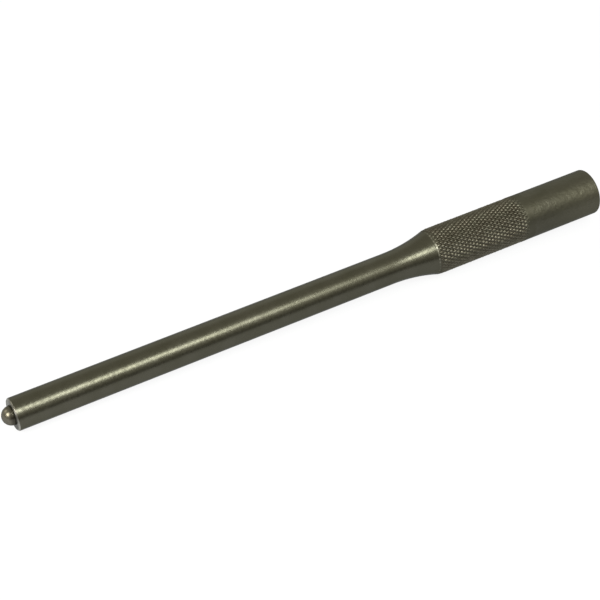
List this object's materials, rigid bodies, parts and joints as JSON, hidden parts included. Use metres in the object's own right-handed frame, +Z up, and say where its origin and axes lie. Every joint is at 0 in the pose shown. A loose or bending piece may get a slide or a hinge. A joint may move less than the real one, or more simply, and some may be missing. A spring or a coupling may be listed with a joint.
{
  "type": "pilot punch",
  "caption": "Slim steel pilot punch for roll pins: a straight shank with a domed pilot at its end, a hollow sweep up to a diamond-knurled grip, and a plain striking head.",
  "frame": {"origin": "centre of the driving face, the flat end of the shank round the pilot", "axes": "+X along the punch from the driving face towards the head, +Z up with the punch lying on its side"},
  "size_m": [0.129, 0.0096, 0.0096],
  "materials": {
    "oxide_steel": "black oxide with an olive-bronze cast, satin",
    "pilot_steel": "black oxide, smooth"
  },
  "bodies": {
    "root": {"punch_body": "oxide_steel", "pilot_pin": "pilot_steel"}
  },
  "joints": []
}
